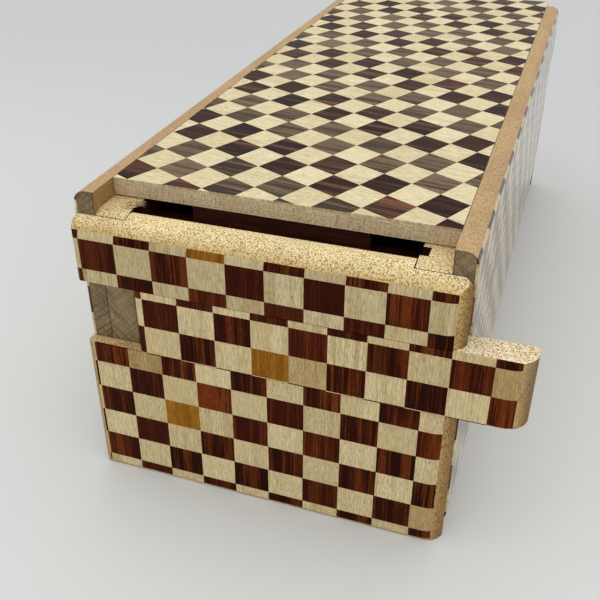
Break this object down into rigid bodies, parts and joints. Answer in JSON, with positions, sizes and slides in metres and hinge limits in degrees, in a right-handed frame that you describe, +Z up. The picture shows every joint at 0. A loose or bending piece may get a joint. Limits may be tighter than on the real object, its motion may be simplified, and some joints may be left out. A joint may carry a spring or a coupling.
{
  "type": "puzzle box",
  "caption": "Oblong wooden puzzle box in checker veneer: end panels drop once their sliding keys are pulled out, and the lid then slides off over the far end.",
  "frame": {"origin": "centre of the box's underside, on the bottom veneer", "axes": "+Z up, +Y along the length from the near end panel to the far one, +X to the right seen from the near end"},
  "size_m": [0.08, 0.153, 0.0523],
  "materials": {
    "panel_wood": "sanded, bare",
    "rail_wood": "sanded, bare",
    "wall_wood": "sawn, bare",
    "lid_wood": "sawn, bare",
    "dark_wood": "planed, bare",
    "checker_veneer": "satin lacquer",
    "bamboo": "planed, bare"
  },
  "bodies": {
    "carcass": {"right_side_board": "rail_wood", "left_side_board": "rail_wood", "right_side_veneer": "checker_veneer", "left_side_veneer": "checker_veneer", "right_inner_wall": "wall_wood", "left_inner_wall": "wall_wood", "bottom_board": "panel_wood", "bottom_veneer": "checker_veneer", "near_end_board": "dark_wood", "far_end_board": "dark_wood"},
    "lid": {"lid_board": "lid_wood", "lid_veneer": "checker_veneer", "lid_right_runner": "dark_wood", "lid_left_runner": "dark_wood", "lid_near_catch": "dark_wood", "lid_far_catch": "dark_wood"},
    "near_panel": {"near_top_strip": "panel_wood", "near_strip_veneer": "checker_veneer", "near_lower_board": "panel_wood", "near_lower_veneer": "checker_veneer", "near_right_tie": "dark_wood", "near_left_tie": "dark_wood", "near_hook_bar": "dark_wood"},
    "near_key": {"near_key_bar": "panel_wood", "near_key_veneer": "checker_veneer", "near_key_peg": "bamboo"},
    "far_panel": {"far_top_strip": "panel_wood", "far_strip_veneer": "checker_veneer", "far_lower_board": "panel_wood", "far_lower_veneer": "checker_veneer", "far_right_tie": "dark_wood", "far_left_tie": "dark_wood", "far_hook_bar": "dark_wood"},
    "far_key": {"far_key_bar": "panel_wood", "far_key_veneer": "checker_veneer", "far_key_peg": "bamboo"}
  },
  "joints": [
    {"name": "lid_slide", "type": "slide", "parent": "carcass", "child": "lid", "axis": [0, 1, 0], "range_m": [-0.003, 0.103]},
    {"name": "near_panel_slide", "type": "slide", "parent": "carcass", "child": "near_panel", "axis": [0, 0, 1], "range_m": [0, 0.0029]},
    {"name": "near_key_slide", "type": "slide", "parent": "near_panel", "child": "near_key", "axis": [1, 0, 0], "range_m": [-0.0096, 0]},
    {"name": "far_panel_slide", "type": "slide", "parent": "carcass", "child": "far_panel", "axis": [0, 0, 1], "range_m": [0, 0.0029]},
    {"name": "far_key_slide", "type": "slide", "parent": "far_panel", "child": "far_key", "axis": [-1, 0, 0], "range_m": [-0.0096, 0]}
  ]
}
